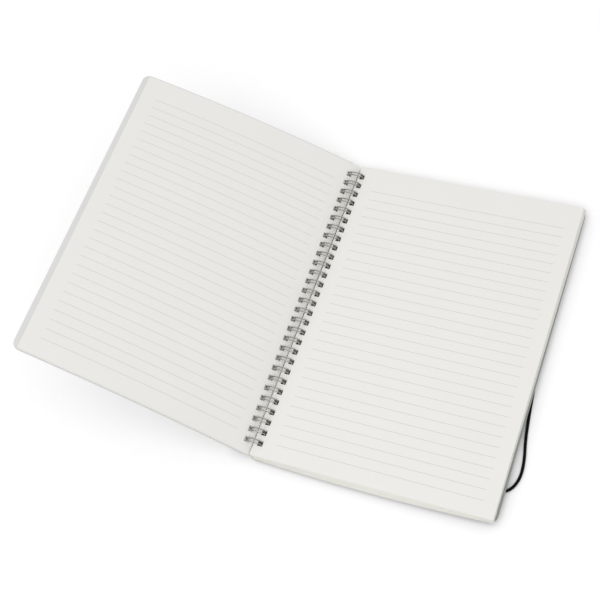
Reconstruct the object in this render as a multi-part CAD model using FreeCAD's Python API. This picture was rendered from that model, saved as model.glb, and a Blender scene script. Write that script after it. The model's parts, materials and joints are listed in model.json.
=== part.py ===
import FreeCAD, Part

import math
import os

from FreeCAD import Rotation, Vector

# An open B5 notebook on a twin-loop wire, lying with its pages up.
# The pieces are drawn about the axis of the wire's rings: X runs across the spine,
# Y runs along it towards the top of the pages, Z is up. The whole is lifted and
# centred at the end, so that it stands on the ground plane with its base centred.

# Sheets
leaf_width = 181.4
leaf_height = 257.0
leaf_corner_radius = 1.0
cover_width = 185.0
cover_height = 259.0
cover_corner_radius = 6.0
front_cover_thickness = 0.6
back_cover_thickness = 0.6
turned_leaves_thickness = 0.3
block_at_spine = 4.5
block_at_fore_edge = 3.2

# Punching: square holes at three to the inch, along the whole spine but its ends
hole_pitch = 25.4 / 3
hole_side = 4.2
hole_to_leaf_edge = 5.2
hole_to_cover_edge = 4.3
plain_length_at_each_end = 8.0

# Binding wire
ring_inner_diameter = 12.0
wire_diameter = 0.9
wire_sides = 5
loop_gap = 1.5
root_bend_radius = 0.9
seam_clearance = 0.15
ring_chords = 12
tip_chords = 4
root_chords = 2

# How the sheets hang on the rings at rest
page_opening_deg = 151.3
top_page_above_axis = 0.8
closing_gap = 0.15
leaf_to_cover_gap = 0.05
seam_room = 1.2
seam_rise = 0.07
fore_edge_gap = 0.5
front_cover_shift = -1.1
turned_leaves_shift = -0.8
block_shift = -1.0
back_cover_shift = -0.7

# Elastic closure
cord_diameter = 2.2
rivet_to_axis = 170.0
rivet_to_middle = 105.0
rivet_face_height = 4.25
rivet_head_diameter = 6.0
rivet_head_thickness = 0.35
rivet_shank_diameter = 3.0
rivet_hole_clearance = 0.2
cord_end_gap = 0.03
arc_share_of_run = 0.45

# Values that follow from those above
hole_count = int((leaf_height - 2 * plain_length_at_each_end) / hole_pitch) + 1
ring_radius = (ring_inner_diameter + wire_diameter) / 2
loop_half_spacing = (loop_gap + wire_diameter) / 2
closed_leaf_face = top_page_above_axis + closing_gap
closed_cover_face = closed_leaf_face + turned_leaves_thickness + leaf_to_cover_gap
block_bottom_at_spine = top_page_above_axis - block_at_spine
cover_top_at_spine = block_bottom_at_spine - seam_room
seam_height = (block_bottom_at_spine + cover_top_at_spine) / 2 + seam_rise
seam_angle = math.asin(seam_height / ring_radius)


def ring_crossing(height):
    """Distance from the ring axis at which the wire crosses a level sheet."""
    return math.sqrt(ring_radius ** 2 - height ** 2)


def round_cornered_outline(inner, outer, height, corner):
    """Closed wire of a sheet from inner to outer along X, centred along Y."""
    half = height / 2
    sheet = Part.makePlane(outer - inner, height, Vector(inner, -half, 0))
    block = sheet.extrude(Vector(0, 0, 1))
    uprights = [e for e in block.Edges if abs(e.BoundBox.ZLength - 1) < 1e-6]
    rounded = block.makeFillet(corner, uprights)
    bottom = min(rounded.Faces, key=lambda face: face.CenterOfMass.z)
    return bottom.OuterWire


def punched_holes(centre):
    """Square outlines of the row of holes, centred on the middle of the spine."""
    squares = []
    for index in range(hole_count):
        along = (index - (hole_count - 1) / 2) * hole_pitch
        low = Vector(centre - hole_side / 2, along - hole_side / 2, 0)
        squares.append(Part.makePlane(hole_side, hole_side, low).OuterWire)
    return squares


def punched_sheet(hole_centre, outline, bottom, thickness):
    """Level sheet of a closed outline, with its row of holes."""
    plate = Part.Face(outline).extrude(Vector(0, 0, thickness))
    holes = [Part.Face(square).extrude(Vector(0, 0, thickness)) for square in punched_holes(hole_centre)]
    plate = plate.cut(Part.makeCompound(holes))
    plate.translate(Vector(0, 0, bottom))
    return plate


def leaf(hole_centre, bottom, thickness):
    """Level paper, its spine edge on the near side."""
    inner = hole_centre - hole_to_leaf_edge
    outline = round_cornered_outline(inner, inner + leaf_width, leaf_height, leaf_corner_radius)
    return punched_sheet(hole_centre, outline, bottom, thickness)


def cover(hole_centre, bottom, thickness):
    """Level plastic cover, its spine edge on the near side."""
    inner = hole_centre - hole_to_cover_edge
    outline = round_cornered_outline(inner, inner + cover_width, cover_height, cover_corner_radius)
    return punched_sheet(hole_centre, outline, bottom, thickness)


def turn(shape, degrees):
    """Turn a shape about the ring axis; positive opens it away from the closed book."""
    turned = shape.copy()
    turned.rotate(Vector(0, 0, 0), Vector(0, 1, 0), -degrees)
    return turned


def mitred_wire(route, diameter, sides):
    """One bent wire of polygonal section, mitred at each point of its route."""
    headings = [(b - a).normalize() for a, b in zip(route, route[1:])]
    across = headings[0].cross(Vector(0, 0, 1)).normalize()
    upward = headings[0].cross(across).normalize()
    radius = diameter / 2
    section = []
    for side in range(sides):
        angle = 2 * math.pi * side / sides
        section.append(route[0] + across * (radius * math.cos(angle)) + upward * (radius * math.sin(angle)))
    rings = [section]
    for index, heading in enumerate(headings):
        following = headings[min(index + 1, len(headings) - 1)]
        mitre = (heading + following).normalize()
        corner = route[index + 1]
        reach = heading.dot(mitre)
        section = [point + heading * ((corner - point).dot(mitre) / reach) for point in section]
        rings.append(section)
    faces = [Part.Face(Part.makePolygon(rings[0] + rings[0][:1]))]
    for near, far in zip(rings, rings[1:]):
        for side in range(sides):
            after = (side + 1) % sides
            quad = [near[side], near[after], far[after], far[side], near[side]]
            faces.append(Part.Face(Part.makePolygon(quad)))
    faces.append(Part.Face(Part.makePolygon(rings[-1] + rings[-1][:1])))
    solid = Part.Solid(Part.Shell(faces))
    if solid.Volume < 0:
        solid.reverse()
    return solid


def on_ring(angle, along):
    """Point on the rings' centre line."""
    return Vector(ring_radius * math.cos(angle), along, ring_radius * math.sin(angle))


def twin_loop(middle):
    """Route of one twin loop: root bend, ring, hairpin tip, ring back, root bend.

    Each loop starts at the seam between the block and the back cover, passes up
    through the block, over the spine and round through both covers, and its
    hairpin tip closes against the seam from below.
    """
    root_start = seam_angle + root_bend_radius / ring_radius
    seam_pitch = wire_diameter + seam_clearance
    tip_apex = seam_angle + 2 * math.pi - seam_pitch / ring_radius
    tip_start = tip_apex - loop_half_spacing / ring_radius
    root = []
    for step in range(root_chords):
        turned = math.pi / 2 * step / root_chords
        angle = seam_angle + root_bend_radius * (1 - math.cos(turned)) / ring_radius
        root.append((angle, loop_half_spacing + root_bend_radius * (1 - math.sin(turned))))
    ring = []
    for step in range(ring_chords + 1):
        angle = root_start + (tip_start - root_start) * step / ring_chords
        ring.append((angle, loop_half_spacing))
    outward = root + ring
    tip = []
    for step in range(1, tip_chords):
        turned = math.pi * step / tip_chords
        angle = tip_start + loop_half_spacing * math.sin(turned) / ring_radius
        tip.append((angle, -loop_half_spacing * math.cos(turned)))
    route = [on_ring(angle, middle - aside) for angle, aside in outward]
    route += [on_ring(angle, middle + aside) for angle, aside in tip]
    route += [on_ring(angle, middle + aside) for angle, aside in reversed(outward)]
    return route


def make_binding():
    """The whole binding as one bent wire."""
    route = []
    for index in range(hole_count):
        route += twin_loop((index - (hole_count - 1) / 2) * hole_pitch)
    return mitred_wire(route, wire_diameter, wire_sides)


twin_loop_wire = make_binding()
ground = twin_loop_wire.BoundBox.ZMin

# The back cover slopes up from the rings to the elastic that it lies on.
rivet_seat = ground + rivet_face_height + rivet_head_thickness
cover_hole = ring_crossing(cover_top_at_spine - back_cover_thickness / 2) + back_cover_shift
cover_slope = math.atan2(
    rivet_seat + back_cover_thickness - cover_top_at_spine, rivet_to_axis - cover_hole
)


def cover_top(across):
    """Height of the back cover's upper face at a distance from the ring axis."""
    return cover_top_at_spine + (across - cover_hole) * math.tan(cover_slope)


def make_back_cover():
    sheet = cover(cover_hole, -back_cover_thickness, back_cover_thickness)
    rivet_up_slope = cover_hole + (rivet_to_axis - cover_hole) / math.cos(cover_slope)
    for along in (-rivet_to_middle, rivet_to_middle):
        hole = Part.makeCylinder(
            rivet_shank_diameter / 2 + rivet_hole_clearance,
            back_cover_thickness,
            Vector(rivet_up_slope, along, -back_cover_thickness),
        )
        sheet = sheet.cut(hole)
    sheet.translate(Vector(0, 0, cover_top_at_spine))
    sheet.rotate(Vector(cover_hole, 0, cover_top_at_spine), Vector(0, 1, 0), -math.degrees(cover_slope))
    return sheet


def make_rivet(along):
    """Closed rivet that holds one end of the elastic, with a head on each face."""
    head_radius = rivet_head_diameter / 2
    shank_radius = rivet_shank_diameter / 2
    outer = rivet_head_thickness
    inner = -back_cover_thickness - rivet_head_thickness
    section = [
        Vector(0, 0, inner),
        Vector(head_radius, 0, inner),
        Vector(head_radius, 0, -back_cover_thickness),
        Vector(shank_radius, 0, -back_cover_thickness),
        Vector(shank_radius, 0, 0),
        Vector(head_radius, 0, 0),
        Vector(head_radius, 0, outer),
        Vector(0, 0, outer),
        Vector(0, 0, inner),
    ]
    rivet = Part.Face(Part.makePolygon(section)).revolve(Vector(0, 0, 0), Vector(0, 0, 1), 360)
    rivet.rotate(Vector(0, 0, 0), Vector(0, 1, 0), -math.degrees(cover_slope))
    rivet.translate(Vector(rivet_to_axis, along, cover_top(rivet_to_axis)))
    return rivet


# The block is level with the back cover at the fore-edge, apart from a small gap,
# and its leaves spread a little on the rings.
block_hole = ring_crossing((top_page_above_axis + block_bottom_at_spine) / 2) + block_shift
block_inner = block_hole - hole_to_leaf_edge
block_outer = block_inner + leaf_width
block_bottom_at_fore_edge = cover_top(block_outer) + fore_edge_gap
block_top_at_fore_edge = block_bottom_at_fore_edge + block_at_fore_edge
top_page_slope = math.atan2(block_top_at_fore_edge - top_page_above_axis, leaf_width)
top_page_slope_deg = math.degrees(top_page_slope)


def make_page_block():
    tall = max(block_top_at_fore_edge, top_page_above_axis) + 1
    low = min(block_bottom_at_spine, block_bottom_at_fore_edge) - 1
    prism = leaf(block_hole, low, tall - low)
    profile = [
        Vector(block_inner, 0, block_bottom_at_spine),
        Vector(block_outer, 0, block_bottom_at_fore_edge),
        Vector(block_outer, 0, block_top_at_fore_edge),
        Vector(block_inner, 0, top_page_above_axis),
        Vector(block_inner, 0, block_bottom_at_spine),
    ]
    wedge = Part.Face(Part.makePolygon(profile)).extrude(Vector(0, leaf_height, 0))
    wedge.translate(Vector(0, -leaf_height / 2, 0))
    return prism.common(wedge)


def make_turned_leaves():
    centre = ring_crossing(closed_leaf_face) + turned_leaves_shift
    leaves = leaf(centre, closed_leaf_face, turned_leaves_thickness)
    return turn(leaves, page_opening_deg + top_page_slope_deg)


def make_front_cover():
    centre = ring_crossing(closed_cover_face) + front_cover_shift
    sheet = cover(centre, closed_cover_face, front_cover_thickness)
    return turn(sheet, page_opening_deg + top_page_slope_deg)


# Route of the elastic, seen from above, between the two rivets: distance from the
# ring axis and distance towards the top of the page. It lies slack on the ground
# under the back cover and bows out past the fore-edge near the bottom.
cord_lying = [
    (173.6, -105.2),
    (176.2, -105.4),
    (180.2, -104.8),
    (185.6, -101.2),
    (189.2, -92.4),
    (190.0, -79.5),
    (187.9, -63.5),
    (185.2, -46.0),
    (182.4, -27.0),
    (179.8, -6.0),
    (178.4, 16.0),
    (177.8, 38.0),
    (178.9, 57.4),
    (180.4, 73.6),
    (180.8, 85.4),
    (179.6, 92.6),
    (177.0, 97.4),
    (174.2, 100.4),
    (172.3, 102.2),
]
bottom_exit_heading_deg = 0
top_exit_heading_deg = -50


def cord_exit(along, heading_deg):
    """The short drop of the cord from a rivet to the ground, in three turns of 30 degrees."""
    rest = ground + cord_diameter / 2
    face = ground + rivet_face_height - cord_end_gap
    steep, shallow = math.cos(math.radians(30)), math.sin(math.radians(30))
    run = (face - rest) / (1 + steep + shallow)
    outwards = Vector(math.cos(math.radians(heading_deg)), math.sin(math.radians(heading_deg)), 0)
    rivet = Vector(rivet_to_axis, along, 0)
    return [
        rivet + Vector(0, 0, face),
        rivet + Vector(0, 0, face - run),
        rivet + outwards * (run * shallow) + Vector(0, 0, rest + run * shallow),
        rivet + outwards * (run * (shallow + steep)) + Vector(0, 0, rest),
    ]


def cord_route():
    rest = ground + cord_diameter / 2
    lying = [Vector(across, along, rest) for across, along in cord_lying]
    top_exit = cord_exit(rivet_to_middle, top_exit_heading_deg)
    return cord_exit(-rivet_to_middle, bottom_exit_heading_deg) + lying + list(reversed(top_exit))


def arc_reach(before, corner, after):
    """Tangent length and radius of the arc that rounds one corner of a route."""
    inward = (corner - before).normalize()
    outward = (after - corner).normalize()
    half_turn = inward.getAngle(outward) / 2
    reach = arc_share_of_run * min((corner - before).Length, (after - corner).Length)
    return reach, reach / math.tan(half_turn)


def make_tube(route, diameter):
    """Round tube along straight runs joined by tangent arcs."""
    edges = []
    start = route[0]
    for before, corner, after in zip(route, route[1:], route[2:]):
        reach, radius = arc_reach(before, corner, after)
        inward = (corner - before).normalize()
        outward = (after - corner).normalize()
        entry = corner - inward * reach
        leave = corner + outward * reach
        bisector = (outward - inward).normalize()
        half_turn = inward.getAngle(outward) / 2
        middle = corner + bisector * (radius / math.cos(half_turn) - radius)
        edges.append(Part.LineSegment(start, entry).toShape())
        edges.append(Part.Arc(entry, middle, leave).toShape())
        start = leave
    edges.append(Part.LineSegment(start, route[-1]).toShape())
    path = Part.Wire(edges)
    section = Part.Wire(Part.makeCircle(diameter / 2, route[0], route[1] - route[0]))
    return path.makePipeShell([section], True, False), path.Length


elastic_cord, cord_length = make_tube(cord_route(), cord_diameter)

nodes = {
    "front_cover": make_front_cover(),
    "turned_leaves": make_turned_leaves(),
    "page_block": make_page_block(),
    "back_cover": make_back_cover(),
    "twin_loop_wire": twin_loop_wire,
    "elastic_rivet_bottom": make_rivet(-rivet_to_middle),
    "elastic_rivet_top": make_rivet(rivet_to_middle),
    "elastic_cord": elastic_cord,
}

# The base centre of everything but the cord is the origin.
body = Part.makeCompound([shape for name, shape in nodes.items() if name != "elastic_cord"]).BoundBox
to_origin = Vector(-(body.XMin + body.XMax) / 2, -(body.YMin + body.YMax) / 2, -ground)

os.makedirs("parts", exist_ok=True)
for name, shape in nodes.items():
    placed = shape.copy()
    placed.translate(to_origin)
    placed.exportStep("parts/" + name + ".step")

# Figures that the joints and the cord's record are stated from.
route = cord_route()
radii = [arc_reach(a, b, c)[1] for a, b, c in zip(route, route[1:], route[2:])]
tube_ratio = elastic_cord.Volume / (math.pi * cord_diameter ** 2 / 4 * cord_length)
print("ring axis", to_origin)
print("opening of the front cover", page_opening_deg + top_page_slope_deg, "top page slope", top_page_slope_deg)
print("back cover slope", math.degrees(cover_slope))
print("cord length", cord_length, "volume over section times length", tube_ratio)
print("cord radii", [round(radius, 1) for radius in radii])
for name, shape in nodes.items():
    print(name, "volume", round(shape.Volume, 1))
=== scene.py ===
import json
import math

import bmesh
import bpy
from mathutils import Matrix, Vector


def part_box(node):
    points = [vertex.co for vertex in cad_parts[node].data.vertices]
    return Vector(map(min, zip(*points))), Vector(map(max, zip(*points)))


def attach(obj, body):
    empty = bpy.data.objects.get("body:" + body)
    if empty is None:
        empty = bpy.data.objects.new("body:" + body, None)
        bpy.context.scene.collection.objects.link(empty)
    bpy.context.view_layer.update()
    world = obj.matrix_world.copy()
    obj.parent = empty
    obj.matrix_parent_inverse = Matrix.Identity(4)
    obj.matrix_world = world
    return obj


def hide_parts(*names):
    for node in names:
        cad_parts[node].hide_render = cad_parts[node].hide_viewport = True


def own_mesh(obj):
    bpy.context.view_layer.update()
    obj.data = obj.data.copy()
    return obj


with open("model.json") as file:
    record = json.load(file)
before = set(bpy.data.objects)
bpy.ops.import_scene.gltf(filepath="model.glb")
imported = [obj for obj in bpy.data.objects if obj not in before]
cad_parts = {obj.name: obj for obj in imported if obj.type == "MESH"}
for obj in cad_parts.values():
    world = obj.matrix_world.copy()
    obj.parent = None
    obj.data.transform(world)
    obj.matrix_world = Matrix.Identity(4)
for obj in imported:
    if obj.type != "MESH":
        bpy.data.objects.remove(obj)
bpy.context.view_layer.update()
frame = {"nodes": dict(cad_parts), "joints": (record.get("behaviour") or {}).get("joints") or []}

MM = 0.001
hinges = {joint["name"]: joint for joint in frame["joints"]}
spine = Vector(hinges["front_cover_hinge"]["pos_m"])


def row(point):
    """A point in millimetres about the axis of the rings, in the row frame."""
    return spine + Vector(point) * MM


def box_about_spine(node):
    """Lowest and highest corners of a solid, in millimetres about the axis of the rings."""
    return [(Vector(corner) - spine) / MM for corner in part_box(node)]


# Sheets, in millimetres about the axis of the rings. X runs across the page,
# Y up the page and Z away from the table.
block_low, block_high = box_about_spine("page_block")
leaf_width = block_high.x - block_low.x
leaf_height = block_high.y - block_low.y
leaf_corner = 1.0
cover_width = 185.0
cover_height = 259.0
cover_corner = 6.0
hole_count = 29
hole_pitch = 25.4 / 3
hole_side = 4.2
hole_to_leaf_edge = 5.2
hole_to_cover_edge = 4.3
ring_radius = 6.45
wire_diameter = 0.9
loop_half_spacing = 1.2
corner_segments = 7
smooth_below = math.radians(32)

# The page block, a stack of leaves whose lower ones stray, creep and fan out a little
block_inner = block_low.x
block_hole = block_inner + hole_to_leaf_edge
top_page = 0.8
block_at_spine = top_page - block_low.z
block_at_fore_edge = 3.2
top_page_slope = math.atan2(block_high.z - top_page, leaf_width)
block_leaves = 40
block_strips = 16
leaf_in_pitch = 0.93
stray_across = 0.22
stray_along = 0.2
lean_to_spine = 0.5
page_sag = 0.7
sag_of_thickness = 0.45
fan_at_foot = 0.9
fan_bulge = 2.2
creep_at_fore_edge = 1.8
creep_skew = 0.7
foot_depth = 1.0
corner_creep = 4.0
corner_share = 0.02
seam_to_block = 1.0
seam_skew = 1.4
seam_least = 0.3
seam_share = 0.01

# The turned half, closed on the block and then swung open
opening = math.radians(151.3) + top_page_slope
closed_gap = 0.15
leaf_face = top_page + closed_gap
turned_thickness = 0.3
turned_count = 3
turned_in_pitch = 0.94
turned_stray = 0.3
turned_seam = 0.7
leaf_inside_ring = 0.8
leaf_hole = math.sqrt(ring_radius ** 2 - leaf_face ** 2) - leaf_inside_ring
cover_gap = 0.05
cover_face = leaf_face + turned_thickness + cover_gap
cover_thickness = 0.6
cover_inside_ring = 1.1
cover_hole = math.sqrt(ring_radius ** 2 - cover_face ** 2) - cover_inside_ring
half_bow = 3.8
half_twist = 13.5
half_strips = 20
half_rows = 24
flex_starts = 1.0

# Printed ruling
line_count = 29
line_spacing = 8.0
line_width = 0.32
ink_thickness = 0.05
right_ruling_start = 17.0
right_ruling_end = 171.8
right_ruling_middle = -4.4
right_ruling_strips = 16
left_ruling_start = 15.0
left_ruling_end = 170.0
left_ruling_middle = -2.4
left_ruling_strips = 40


def new_piece(name, bm, smooth=True):
    """Mesh object of a finished bmesh, standing at the origin."""
    mesh = bpy.data.meshes.new(name)
    bmesh.ops.recalc_face_normals(bm, faces=bm.faces)
    bm.to_mesh(mesh)
    bm.free()
    if smooth:
        mesh.shade_smooth()
        mesh.set_sharp_from_angle(angle=smooth_below)
    piece = bpy.data.objects.new(name, mesh)
    bpy.context.collection.objects.link(piece)
    return piece


def cut_across(bm, faces, point, normal):
    """Cut the given faces along a plane, keeping both sides."""
    edges = {edge for face in faces for edge in face.edges}
    verts = {vert for face in faces for vert in face.verts}
    cut = list(faces) + list(edges) + list(verts)
    bmesh.ops.bisect_plane(bm, geom=cut, plane_co=point, plane_no=normal)


def faces_between(bm, low, high):
    """Faces whose middle lies between two distances across the page."""
    return [face for face in bm.faces if low < face.calc_center_median().x < high]


def hole_middle(number):
    """Place of a hole along the spine."""
    return (number - (hole_count - 1) / 2) * hole_pitch


def punched_sheet(width, height, corner, hole_centre, hole_to_edge, strips, rows):
    """Flat sheet 1 thick with round corners and square holes, its top face at Z = 0."""
    inner = hole_centre - hole_to_edge
    near = hole_centre - hole_side / 2
    far = hole_centre + hole_side / 2
    outer = inner + width
    bm = bmesh.new()
    bmesh.ops.create_grid(bm, x_segments=1, y_segments=1, size=0.5)
    bmesh.ops.scale(bm, vec=(width, height, 1), verts=bm.verts)
    bmesh.ops.translate(bm, vec=(inner + width / 2, 0, 0), verts=bm.verts)
    bmesh.ops.bevel(
        bm, geom=bm.verts[:], affect="VERTICES", offset=corner, offset_type="OFFSET",
        segments=corner_segments, profile=0.5, material=-1,
    )
    across = [near, far] + [far + (outer - far) * step / strips for step in range(1, strips)]
    for line in across:
        cut_across(bm, bm.faces[:], (line, 0, 0), (1, 0, 0))
    for step in range(1, rows):
        along = height * (step / rows - 0.5)
        cut_across(bm, faces_between(bm, far, outer), (0, along, 0), (0, 1, 0))
    for number in range(hole_count):
        for side in (-1, 1):
            along = hole_middle(number) + side * hole_side / 2
            cut_across(bm, faces_between(bm, near, far), (0, along, 0), (0, 1, 0))
    holes = []
    for face in faces_between(bm, near, far):
        along = face.calc_center_bounds().y
        nearest = min(abs(along - hole_middle(number)) for number in range(hole_count))
        if nearest < hole_side / 4:
            holes.append(face)
    bmesh.ops.delete(bm, geom=holes, context="FACES")
    lifted = bmesh.ops.extrude_face_region(bm, geom=bm.faces[:])
    lower = [item for item in lifted["geom"] if isinstance(item, bmesh.types.BMVert)]
    bmesh.ops.translate(bm, vec=(0, 0, -1), verts=lower)
    bmesh.ops.recalc_face_normals(bm, faces=bm.faces)
    mesh = bpy.data.meshes.new("pattern")
    bm.to_mesh(mesh)
    bm.free()
    return mesh


def stack(name, pattern, count, place):
    """Copies of a flat pattern, each vertex put in its place by a rule."""
    bm = bmesh.new()
    for number in range(count):
        start = len(bm.verts)
        bm.from_mesh(pattern)
        bm.verts.ensure_lookup_table()
        for vert in bm.verts[start:]:
            vert.co = row(place(number, vert.co))
    return new_piece(name, bm)


def wander(number, rate, start=0.0):
    """How far a leaf strays from its neighbours, from -1 to 1."""
    return math.sin(rate * number + start)


def hump(share):
    """0 at both ends of a width, 1 at its middle."""
    return 4 * share * (1 - share)


def across_block(x):
    """Share of the way from the block's spine edge to its fore-edge."""
    return (x - block_inner) / leaf_width


def top_of_block(x):
    """Height of the top page, which sags a little between spine and fore-edge."""
    straight = top_page + (x - block_inner) * math.tan(top_page_slope)
    return straight - page_sag * hump(across_block(x))


def block_thickness(x):
    """Thickness of the stack, which thins from the spine to the fore-edge."""
    share = across_block(x)
    straight = block_at_spine + (block_at_fore_edge - block_at_spine) * share
    return straight - sag_of_thickness * page_sag * hump(share)


def seam_shift(y):
    """The turned leaves push the seam over the block, most at the top of the page."""
    return seam_to_block + seam_skew * 2 * y / leaf_height


def place_block_leaf(number, flat):
    """One leaf of the block, counted from the top, spread a little from its neighbours."""
    depth = number / block_leaves
    share = across_block(flat.x)
    x, y = flat.x, flat.y
    if number:
        x += stray_across * wander(number, 2.4) - lean_to_spine * depth
        x += depth * share * (creep_at_fore_edge + creep_skew * 2 * flat.y / leaf_height)
        y += stray_along * wander(number, 1.7, 0.6)
    if share < seam_share:
        x += max(seam_least, seam_shift(flat.y))
    if flat.y < foot_depth - leaf_height / 2:
        y -= depth * (fan_at_foot + fan_bulge * hump(share))
        x += depth * corner_creep * max(0.0, 1 - share / corner_share)
    pitch = block_thickness(flat.x) / block_leaves
    return (x, y, top_of_block(flat.x) - pitch * (number - leaf_in_pitch * flat.z))


def lean_of_half(x, y):
    """How far the turned half stands out of its plane, towards the reader."""
    share = max(0.0, x - flex_starts) / cover_width
    return half_bow * hump(share) - half_twist * share * y / (leaf_height / 2)


def open_half(point):
    """A point of the closed front half, swung open about the rings."""
    x, y, z = point
    z -= lean_of_half(x, y)
    return (
        x * math.cos(opening) - z * math.sin(opening),
        y,
        x * math.sin(opening) + z * math.cos(opening),
    )


def place_turned_leaf(number, flat):
    """One of the turned leaves, counted from the page that is in view."""
    x, y = flat.x, flat.y
    if number:
        x += turned_stray * wander(number, 2.1, 0.4)
        y += turned_stray * wander(number, 1.3, 1.0)
    if flat.x < leaf_hole - hole_side:
        x -= turned_seam * seam_shift(flat.y)
    pitch = turned_thickness / turned_count
    return open_half((x, y, leaf_face + pitch * (number + turned_in_pitch * (1 + flat.z))))


def place_front_cover(number, flat):
    """The front cover, under the turned leaves."""
    return open_half((flat.x, flat.y, cover_face + cover_thickness * (1 + flat.z)))


leaf_pattern = punched_sheet(
    leaf_width, leaf_height, leaf_corner, block_hole, hole_to_leaf_edge, block_strips, 1
)
block = stack("page_block_leaves", leaf_pattern, block_leaves, place_block_leaf)
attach(block, "pages")
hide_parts("page_block")

turned_pattern = punched_sheet(
    leaf_width, leaf_height, leaf_corner, leaf_hole, hole_to_leaf_edge, half_strips, half_rows
)
turned = stack("turned_leaves_fan", turned_pattern, turned_count, place_turned_leaf)
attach(turned, "front")
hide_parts("turned_leaves")

cover_pattern = punched_sheet(
    cover_width, cover_height, cover_corner, cover_hole, hole_to_cover_edge, half_strips, half_rows
)
front_cover = stack("front_cover_sheet", cover_pattern, 1, place_front_cover)
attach(front_cover, "front")
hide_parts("front_cover")


# The printed ruling is a thin layer of ink on each open page.
def ruling(name, start, end, middle, strips, place):
    """All the lines of one page, laid flat and then put on the page by a rule."""
    bm = bmesh.new()
    for number in range(line_count):
        along = middle + (number - (line_count - 1) / 2) * line_spacing
        made = bmesh.ops.create_grid(bm, x_segments=strips, y_segments=1, size=0.5)
        for vert in made["verts"]:
            x = start + (vert.co.x + 0.5) * (end - start)
            vert.co = Vector((x, along + vert.co.y * line_width, 0))
    lifted = bmesh.ops.extrude_face_region(bm, geom=bm.faces[:])
    upper = [item for item in lifted["geom"] if isinstance(item, bmesh.types.BMVert)]
    bmesh.ops.translate(bm, vec=(0, 0, ink_thickness), verts=upper)
    for vert in bm.verts:
        vert.co = row(place(vert.co))
    return new_piece(name, bm)


def ink_on_block(flat):
    return (flat.x, flat.y, top_of_block(flat.x) + flat.z)


def ink_on_turned_leaf(flat):
    return open_half((flat.x, flat.y, leaf_face - flat.z))


right_ruling = ruling(
    "ruling_right", right_ruling_start, right_ruling_end, right_ruling_middle, right_ruling_strips,
    ink_on_block,
)
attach(right_ruling, "pages")
left_ruling = ruling(
    "ruling_left", left_ruling_start, left_ruling_end, left_ruling_middle, left_ruling_strips,
    ink_on_turned_leaf,
)
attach(left_ruling, "front")

# The binding is one wire: a straight link, a bend outwards, a ring, a hairpin tip,
# the ring back and a bend onto the next link. Each stretch is the open end of the
# wire drawn on along a line or spun round an arc.
link_below_block = 0.53
seam_height = top_page - block_at_spine - link_below_block
root_bend = 0.9
tip_gap = 0.15
seam_angle = math.asin(seam_height / ring_radius)
seam_radius = math.sqrt(ring_radius ** 2 - root_bend ** 2)
ring_start = seam_angle + math.asin(root_bend / ring_radius)
tip_room = wire_diameter + tip_gap + loop_half_spacing
tip_start = seam_angle + 2 * math.pi - tip_room / ring_radius
shoulder_from = math.radians(15)
shoulder_to = math.radians(70)
shoulder_radius = 2.8
wire_sides = 10
root_steps = 5
arc_steps = 7
tip_steps = 8
merge_within = 0.01


def radial(angle):
    """Direction from the ring axis out through the wire."""
    return Vector((math.cos(angle), 0, math.sin(angle)))


def forward(angle):
    """Direction in which the wire runs round its ring."""
    return Vector((-math.sin(angle), 0, math.cos(angle)))


def ring_arcs():
    """Centre and angle of each arc of a ring, whose top is pressed a little flat."""
    shoulder = radial(shoulder_from) * (ring_radius - shoulder_radius)
    shoulder_end = shoulder + radial(shoulder_to) * shoulder_radius
    top_radius = shoulder_end.x / math.cos(shoulder_to)
    top_centre = shoulder_end - radial(shoulder_to) * top_radius
    far_shoulder = Vector((-shoulder.x, 0, shoulder.z))
    turn = shoulder_to - shoulder_from
    return [
        (Vector((0, 0, 0)), shoulder_from - ring_start),
        (shoulder, turn),
        (top_centre, math.pi - 2 * shoulder_to),
        (far_shoulder, turn),
        (Vector((0, 0, 0)), tip_start - math.pi + shoulder_from),
    ]


def ring_of(bm, verts):
    """Edges and vertices of the open end made by these vertices."""
    chosen = set(verts)
    edges = [edge for edge in bm.edges if chosen.issuperset(edge.verts)]
    return edges + list(verts)


def draw(bm, end, step):
    """Carry the open end of the wire along a straight line."""
    edges = [item for item in end if isinstance(item, bmesh.types.BMEdge)]
    grown = bmesh.ops.extrude_edge_only(bm, edges=edges)["geom"]
    verts = [item for item in grown if isinstance(item, bmesh.types.BMVert)]
    bmesh.ops.translate(bm, vec=step, verts=verts)
    return ring_of(bm, verts)


def bend(bm, end, centre, axis, angle, steps):
    """Carry the open end of the wire round an arc."""
    spun = bmesh.ops.spin(bm, geom=end, cent=centre, axis=axis, angle=angle, steps=steps)
    return [item for item in spun["geom_last"] if not isinstance(item, bmesh.types.BMFace)]


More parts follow.
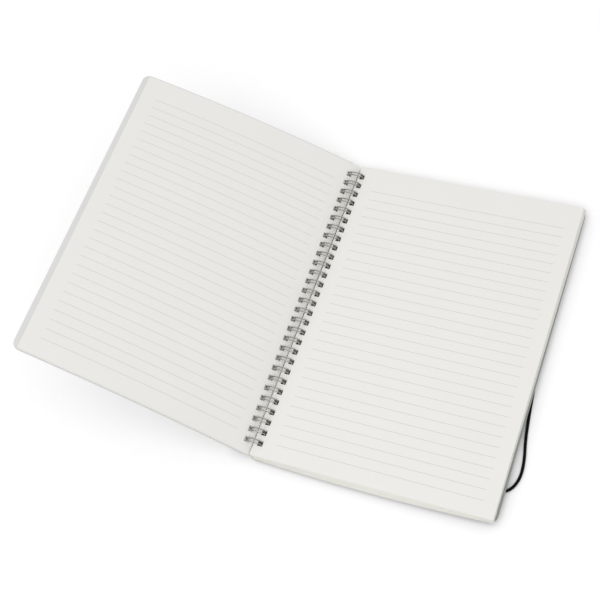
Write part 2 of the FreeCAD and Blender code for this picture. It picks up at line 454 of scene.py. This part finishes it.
def twin_loop():
    """One twin loop, from the middle of one link to the middle of the next."""
    along = Vector((0, 1, 0))
    seam = radial(seam_angle) * seam_radius
    link = hole_pitch / 2 - loop_half_spacing - root_bend
    bm = bmesh.new()
    made = bmesh.ops.create_circle(bm, segments=wire_sides, radius=wire_diameter / 2)["verts"]
    bmesh.ops.rotate(bm, matrix=Matrix.Rotation(math.pi / 2, 3, "X"), verts=made)
    bmesh.ops.translate(bm, vec=seam - along * hole_pitch / 2, verts=made)
    end = draw(bm, ring_of(bm, made), along * link)
    bend_at = seam - along * (loop_half_spacing + root_bend) + forward(seam_angle) * root_bend
    end = bend(bm, end, bend_at, radial(seam_angle), math.pi / 2, root_steps)
    for centre, angle in ring_arcs():
        end = bend(bm, end, centre - along * loop_half_spacing, -along, angle, arc_steps)
    tip_at = radial(tip_start) * ring_radius
    end = bend(bm, end, tip_at, radial(tip_start), -math.pi, tip_steps)
    for centre, angle in reversed(ring_arcs()):
        end = bend(bm, end, centre + along * loop_half_spacing, along, angle, arc_steps)
    bend_at = seam + along * (loop_half_spacing + root_bend) + forward(seam_angle) * root_bend
    end = bend(bm, end, bend_at, radial(seam_angle), math.pi / 2, root_steps)
    draw(bm, end, along * link)
    mesh = bpy.data.meshes.new("twin_loop_pattern")
    bm.to_mesh(mesh)
    bm.free()
    return mesh


def make_wire():
    """The whole wire: the twin loops joined end to end and closed at both ends."""
    pattern = twin_loop()
    bm = bmesh.new()
    for number in range(hole_count):
        start = len(bm.verts)
        bm.from_mesh(pattern)
        bm.verts.ensure_lookup_table()
        bmesh.ops.translate(bm, vec=(0, hole_middle(number), 0), verts=bm.verts[start:])
    bmesh.ops.remove_doubles(bm, verts=bm.verts, dist=merge_within)
    cut_ends = [edge for edge in bm.edges if edge.is_boundary]
    bmesh.ops.holes_fill(bm, edges=cut_ends, sides=0)
    for vert in bm.verts:
        vert.co = row(vert.co)
    return new_piece("binding_wire", bm)


wire = make_wire()
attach(wire, "pages")
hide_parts("twin_loop_wire")

# The elastic lies slack on the table from one rivet to the other.
ground = -spine.z / MM
cord_diameter = 2.2
rivet_to_axis = 170.0
rivet_to_middle = 105.0
cord_height = ground + cord_diameter / 2
rivet_face = ground + 4.22
bottom_exit_heading = 0.0
top_exit_heading = math.radians(-50)
exit_turn = math.radians(30)
cord_lying = [
    (173.6, -105.2),
    (176.2, -105.4),
    (180.2, -104.8),
    (186.6, -101.2),
    (190.4, -91.5),
    (189.8, -78.5),
    (186.6, -63.5),
    (184.4, -46.0),
    (182.6, -27.0),
    (180.2, -6.0),
    (178.4, 16.0),
    (177.8, 38.0),
    (178.9, 57.4),
    (180.4, 73.6),
    (180.8, 85.4),
    (179.6, 92.6),
    (177.0, 97.4),
    (174.2, 100.4),
    (172.3, 102.2),
]


def cord_exit(along, heading):
    """Points of the drop from a rivet to the table, in three turns of 30 degrees."""
    steep, shallow = math.cos(exit_turn), math.sin(exit_turn)
    run = (rivet_face - cord_height) / (1 + steep + shallow)
    outwards = Vector((math.cos(heading), math.sin(heading), 0))
    rivet = Vector((rivet_to_axis, along, 0))
    return [
        rivet + Vector((0, 0, rivet_face)),
        rivet + Vector((0, 0, rivet_face - run)),
        rivet + outwards * run * shallow + Vector((0, 0, cord_height + run * shallow)),
        rivet + outwards * run * (shallow + steep) + Vector((0, 0, cord_height)),
    ]


def make_elastic():
    """The cord as one smooth curve, and the point where it leaves the lower rivet."""
    route = cord_exit(-rivet_to_middle, bottom_exit_heading)
    route += [Vector((across, along, cord_height)) for across, along in cord_lying]
    route += reversed(cord_exit(rivet_to_middle, top_exit_heading))
    curve = bpy.data.curves.new("elastic", "CURVE")
    curve.dimensions = "3D"
    spline = curve.splines.new("NURBS")
    spline.points.add(len(route) - 1)
    for point, place in zip(spline.points, route):
        point.co = (*row(place), 1)
        point.radius = cord_diameter / 2 * MM
    spline.order_u = 3
    spline.use_endpoint_u = True
    spline.resolution_u = 10
    curve.bevel_depth = 1
    curve.bevel_resolution = 4
    curve.use_fill_caps = True
    elastic = bpy.data.objects.new("elastic_closure", curve)
    bpy.context.collection.objects.link(elastic)
    return elastic, row(route[0])


elastic, elastic_exit = make_elastic()
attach(elastic, "back")
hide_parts("elastic_cord")


# Materials
page_dull = (0.79, 0.78, 0.748, 1)
page_bright = (0.82, 0.811, 0.781, 1)
# Cut edges of the leaves: the yellower tone is the paper's own. The extra paleness is painted
# light that offsets the shade on edges facing away from the lamp.
page_edge_tone_and_painted_light = (0.86, 0.87, 0.77, 1)
# Painted shade: the walls of the block's punched holes, between holes_from_spine and holes_end
# from the rings' axis, are coloured dark in place of their shade.
hole_painted_shade = (0.16, 0.155, 0.11, 1)
holes_from_spine = 2.8
holes_end = 9.0
holes_half_height = 125.0
ink_dark = (0.55, 0.55, 0.54, 1)
ink_pale = (0.63, 0.63, 0.62, 1)
frosted_dull = (0.675, 0.675, 0.67, 1)
frosted_bright = (0.715, 0.715, 0.71, 1)
# Painted shade: the front cover's cut edges and the walls of its holes are coloured dark in place
# of their shade.
frosted_cut_painted_shade = (0.2, 0.2, 0.2, 1)
smoky_dull = (0.25, 0.265, 0.245, 1)
smoky_bright = (0.32, 0.335, 0.31, 1)
smoky_edge = (0.3, 0.315, 0.29, 1)
nickel_dull = (0.72, 0.71, 0.68, 1)
nickel_bright = (0.84, 0.83, 0.8, 1)
# Painted reflection: the flanks of the wire's strands are coloured dark to stand for the dark gaps
# and holes they would mirror.
nickel_flank_painted_reflection = (0.2, 0.195, 0.16, 1)
braid_dark = (0.001, 0.001, 0.001, 1)
braid_pale = (0.005, 0.005, 0.005, 1)
rivet_dark = (0.05, 0.05, 0.05, 1)
rivet_pale = (0.09, 0.09, 0.09, 1)
face_upward = 0.6
flank_sideways = 0.5


class Shade:
    """One output of a material's nodes, for use in Python expressions."""

    def __init__(self, tree, socket=None):
        self.tree = tree
        self.socket = socket

    def node(self, kind, settings=None, inputs=None, output=0):
        """Any other node: its settings, then the values or links of its sockets."""
        made = self.tree.nodes.new(kind)
        for name, value in (settings or {}).items():
            setattr(made, name, value)
        for key, value in (inputs or {}).items():
            if isinstance(value, Shade):
                self.tree.links.new(value.socket, made.inputs[key])
            else:
                made.inputs[key].default_value = value
        return Shade(self.tree, made.outputs[output])

    def math(self, operation, first, second=0.0):
        return self.node("ShaderNodeMath", {"operation": operation}, {0: first, 1: second})

    def __add__(self, other):
        return self.math("ADD", self, other)

    def __rsub__(self, other):
        return self.math("SUBTRACT", other, self)

    def __mul__(self, other):
        return self.math("MULTIPLY", self, other)

    def above(self, level):
        return self.math("GREATER_THAN", self, level)

    def mixed(self, low, high):
        """A colour between two, by this value."""
        return self.node(
            "ShaderNodeMix", {"data_type": "RGBA"}, {"Factor": self, 6: low, 7: high}, output=2
        )


class Finish:
    """A material with one Principled shader, and the values that feed it."""

    def __init__(self, name, roughness, metallic=0.0):
        self.material = bpy.data.materials.new(name)
        self.material.use_nodes = True
        self.tree = self.material.node_tree
        self.surface = self.tree.nodes["Principled BSDF"]
        self.surface.inputs["Roughness"].default_value = roughness
        self.surface.inputs["Metallic"].default_value = metallic
        self.shade = Shade(self.tree)

    def feed(self, socket, value):
        self.tree.links.new(value.socket, self.surface.inputs[socket])

    def grain(self, scale, detail=3.0):
        """Fine noise over the piece, from 0 to 1."""
        place = self.shade.node("ShaderNodeTexCoord", output="Object")
        inputs = {"Vector": place, "Scale": scale, "Detail": detail}
        return self.shade.node("ShaderNodeTexNoise", {}, inputs)

    def bump(self, height, strength, distance):
        inputs = {"Height": height, "Strength": strength, "Distance": distance}
        self.feed("Normal", self.shade.node("ShaderNodeBump", {}, inputs))

    def cover(self, *pieces):
        for piece in pieces:
            piece.data.materials.clear()
            piece.data.materials.append(self.material)


def beside_spine(shade, reach, half_height):
    """1 within a distance of the rings' axis and of the middle of the page, else 0."""
    place = shade.node("ShaderNodeTexCoord", output="Object")
    from_middle = shade.node("ShaderNodeSeparateXYZ", {}, {"Vector": place}, output="X")
    across = from_middle + -spine.x
    along = shade.node("ShaderNodeSeparateXYZ", {}, {"Vector": place}, output="Y")
    outside = across.math("ABSOLUTE", across).above(reach * MM)
    beyond = along.math("ABSOLUTE", along).above(half_height * MM)
    return (1 - outside) * (1 - beyond)


def cut_edge(shade):
    """1 on the edges of a sheet and the walls of its holes, 0 on its faces."""
    facing = shade.node("ShaderNodeTexCoord", output="Normal")
    upward = shade.node("ShaderNodeSeparateXYZ", {}, {"Vector": facing}, output="Z")
    return 1 - upward.math("ABSOLUTE", upward).above(face_upward)


def make_paper():
    """Uncoated cream paper. Its cut edges have their own yellower tone, made paler by painted
    light; the walls of its punched holes are painted dark as painted shade.
    """
    finish = Finish("ruled_paper", roughness=0.8)
    fibres = finish.grain(scale=900.0, detail=4.0)
    cloud = finish.grain(scale=30.0, detail=2.0)
    face = (fibres * 0.5 + cloud * 0.5).mixed(page_dull, page_bright)
    up_to_holes = beside_spine(finish.shade, holes_end, holes_half_height)
    short_of_holes = beside_spine(finish.shade, holes_from_spine, holes_half_height)
    # Cut edges: painted light on the outer edges, painted shade on the walls of the punched holes.
    edge = (up_to_holes * (1 - short_of_holes)).mixed(page_edge_tone_and_painted_light, hole_painted_shade)
    finish.feed("Base Color", cut_edge(finish.shade).mixed(face, edge))
    finish.bump(fibres, strength=0.12, distance=0.0002)
    return finish


def make_ink():
    """Thin grey ink, worn a little uneven."""
    finish = Finish("ruling_ink", roughness=0.8)
    finish.feed("Base Color", finish.grain(scale=700.0).mixed(ink_dark, ink_pale))
    return finish


def make_frosted(name, dark, pale, edge):
    """Frosted plastic sheet, finely pitted, with another colour on its cut edges and hole walls;
    the front cover's dark one is painted shade.
    """
    finish = Finish(name, roughness=0.45)
    face = finish.grain(scale=60.0).mixed(dark, pale)
    finish.feed("Base Color", cut_edge(finish.shade).mixed(face, edge))
    finish.bump(finish.grain(scale=1500.0, detail=2.0), strength=0.15, distance=0.0002)
    return finish


def make_nickel():
    """Polished nickel; the flanks of the strands, which face one another, are painted dark as a
    painted reflection of the dark gaps and holes beside them.
    """
    finish = Finish("nickel_wire", roughness=0.3, metallic=1.0)
    cloud = finish.grain(scale=400.0)
    bright = cloud.mixed(nickel_dull, nickel_bright)
    facing = finish.shade.node("ShaderNodeTexCoord", output="Normal")
    sideways = finish.shade.node("ShaderNodeSeparateXYZ", {}, {"Vector": facing}, output="Y")
    # Painted reflection on the sideways-facing flanks of the strands.
    flank = sideways.math("ABSOLUTE", sideways).above(flank_sideways)
    finish.feed("Base Color", flank.mixed(bright, nickel_flank_painted_reflection))
    finish.feed("Roughness", cloud * 0.15 + 0.25)
    return finish


def make_braid():
    """Covered elastic: a matt black braid over rubber."""
    finish = Finish("braided_elastic", roughness=0.95)
    finish.surface.inputs["Specular IOR Level"].default_value = 0.15
    braid = finish.grain(scale=1600.0, detail=1.0)
    finish.feed("Base Color", braid.mixed(braid_dark, braid_pale))
    finish.bump(braid, strength=0.5, distance=0.0003)
    return finish


def make_rivet_black():
    """Black coat on metal."""
    finish = Finish("rivet_black", roughness=0.35, metallic=0.8)
    finish.feed("Base Color", finish.grain(scale=500.0).mixed(rivet_dark, rivet_pale))
    return finish


nodes = frame["nodes"]
make_paper().cover(block, turned)
make_ink().cover(right_ruling, left_ruling)
make_frosted("frosted_cover", frosted_dull, frosted_bright, frosted_cut_painted_shade).cover(front_cover)
make_frosted("smoky_cover", smoky_dull, smoky_bright, smoky_edge).cover(nodes["back_cover"])
make_nickel().cover(wire)
make_braid().cover(elastic)
make_rivet_black().cover(nodes["elastic_rivet_bottom"], nodes["elastic_rivet_top"])

# Each piece of the turned half gets a mesh of its own.
for piece in (turned, front_cover, left_ruling):
    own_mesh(piece)

# Camera: the photograph's view, found from the ruled lines and the page corners
camera_place = Vector((298.997, -383.641, 827.638))
camera_right = Vector((0.9248877, 0.3307132, -0.1876473))
camera_down = Vector((0.2094162, -0.8549391, -0.4745777))
camera_forward = Vector((-0.3173762, 0.3996347, -0.8599793))
lens_pixels = 1253.37
frame_pixels = 600


def tip_with_page(vector):
    """The view was found against a level top page; the page slopes up a little."""
    return Matrix.Rotation(-top_page_slope, 3, "Y") @ vector


def make_camera():
    """Camera with the photograph's field of view."""
    data = bpy.data.cameras.new("camera")
    data.sensor_width = 36
    data.lens = 36 * lens_pixels / frame_pixels
    data.clip_end = 20
    camera = bpy.data.objects.new("camera", data)
    bpy.context.collection.objects.link(camera)
    right = tip_with_page(camera_right)
    up = -tip_with_page(camera_down)
    back = -tip_with_page(camera_forward)
    turn = Matrix((right, up, back)).transposed().to_4x4()
    camera.matrix_world = Matrix.Translation(row(tip_with_page(camera_place))) @ turn
    bpy.context.scene.camera = camera


make_camera()

# Floor and light
floor_reach = 4.0
floor_gap = 0.0001
shadow_reach = 0.015
table_colour = (0.72, 0.72, 0.72, 1)
table_glow = 0.3
surround_strength = 0.71
softbox_place = (0.05, -0.75, 1.85)
softbox_size = 2.2
softbox_power = 19


def make_floor():
    """White table: matt, with some glow where the camera or a shiny piece sees it in the open."""
    bm = bmesh.new()
    bmesh.ops.create_grid(bm, x_segments=1, y_segments=1, size=floor_reach)
    bmesh.ops.translate(bm, vec=(0, 0, -floor_gap), verts=bm.verts)
    floor = new_piece("floor", bm, smooth=False)
    finish = bpy.data.materials.new("white_table")
    finish.use_nodes = True
    tree = finish.node_tree
    tree.nodes.clear()
    shade = Shade(tree)
    lit = shade.node("ShaderNodeBsdfDiffuse", {}, {"Color": table_colour})
    glow = shade.node("ShaderNodeEmission", {}, {"Strength": table_glow})
    dark = shade.node("ShaderNodeEmission", {}, {"Strength": 0.0})
    kinds = ("Is Camera Ray", "Is Glossy Ray", "Is Transmission Ray")
    rays = [shade.node("ShaderNodeLightPath", output=kind) for kind in kinds]
    inputs = {"Distance": shadow_reach}
    open_above = shade.node("ShaderNodeAmbientOcclusion", {}, inputs, output="AO")
    seen = (rays[0] + rays[1] + rays[2]) * open_above
    extra = shade.node("ShaderNodeMixShader", {}, {0: seen, 1: dark, 2: glow})
    both = shade.node("ShaderNodeAddShader", {}, {0: lit, 1: extra})
    out = tree.nodes.new("ShaderNodeOutputMaterial")
    tree.links.new(both.socket, out.inputs["Surface"])
    floor.data.materials.append(finish)


def make_world():
    """Even white surroundings."""
    world = bpy.data.worlds.new("studio")
    bpy.context.scene.world = world
    world.use_nodes = True
    surround = world.node_tree.nodes["Background"]
    surround.inputs["Color"].default_value = (1, 1, 1, 1)
    surround.inputs["Strength"].default_value = surround_strength


def make_softbox(name, place, aim, size, power):
    """Square lamp turned towards a point."""
    data = bpy.data.lights.new(name, "AREA")
    data.shape = "SQUARE"
    data.size = size
    data.energy = power
    lamp = bpy.data.objects.new(name, data)
    bpy.context.collection.objects.link(lamp)
    lamp.location = place
    lamp.rotation_euler = (Vector(aim) - Vector(place)).to_track_quat("-Z", "Y").to_euler()


make_floor()
make_world()
make_softbox("softbox_above", softbox_place, (0, 0, 0), softbox_size, softbox_power)

bpy.context.scene.view_settings.view_transform = "Standard"
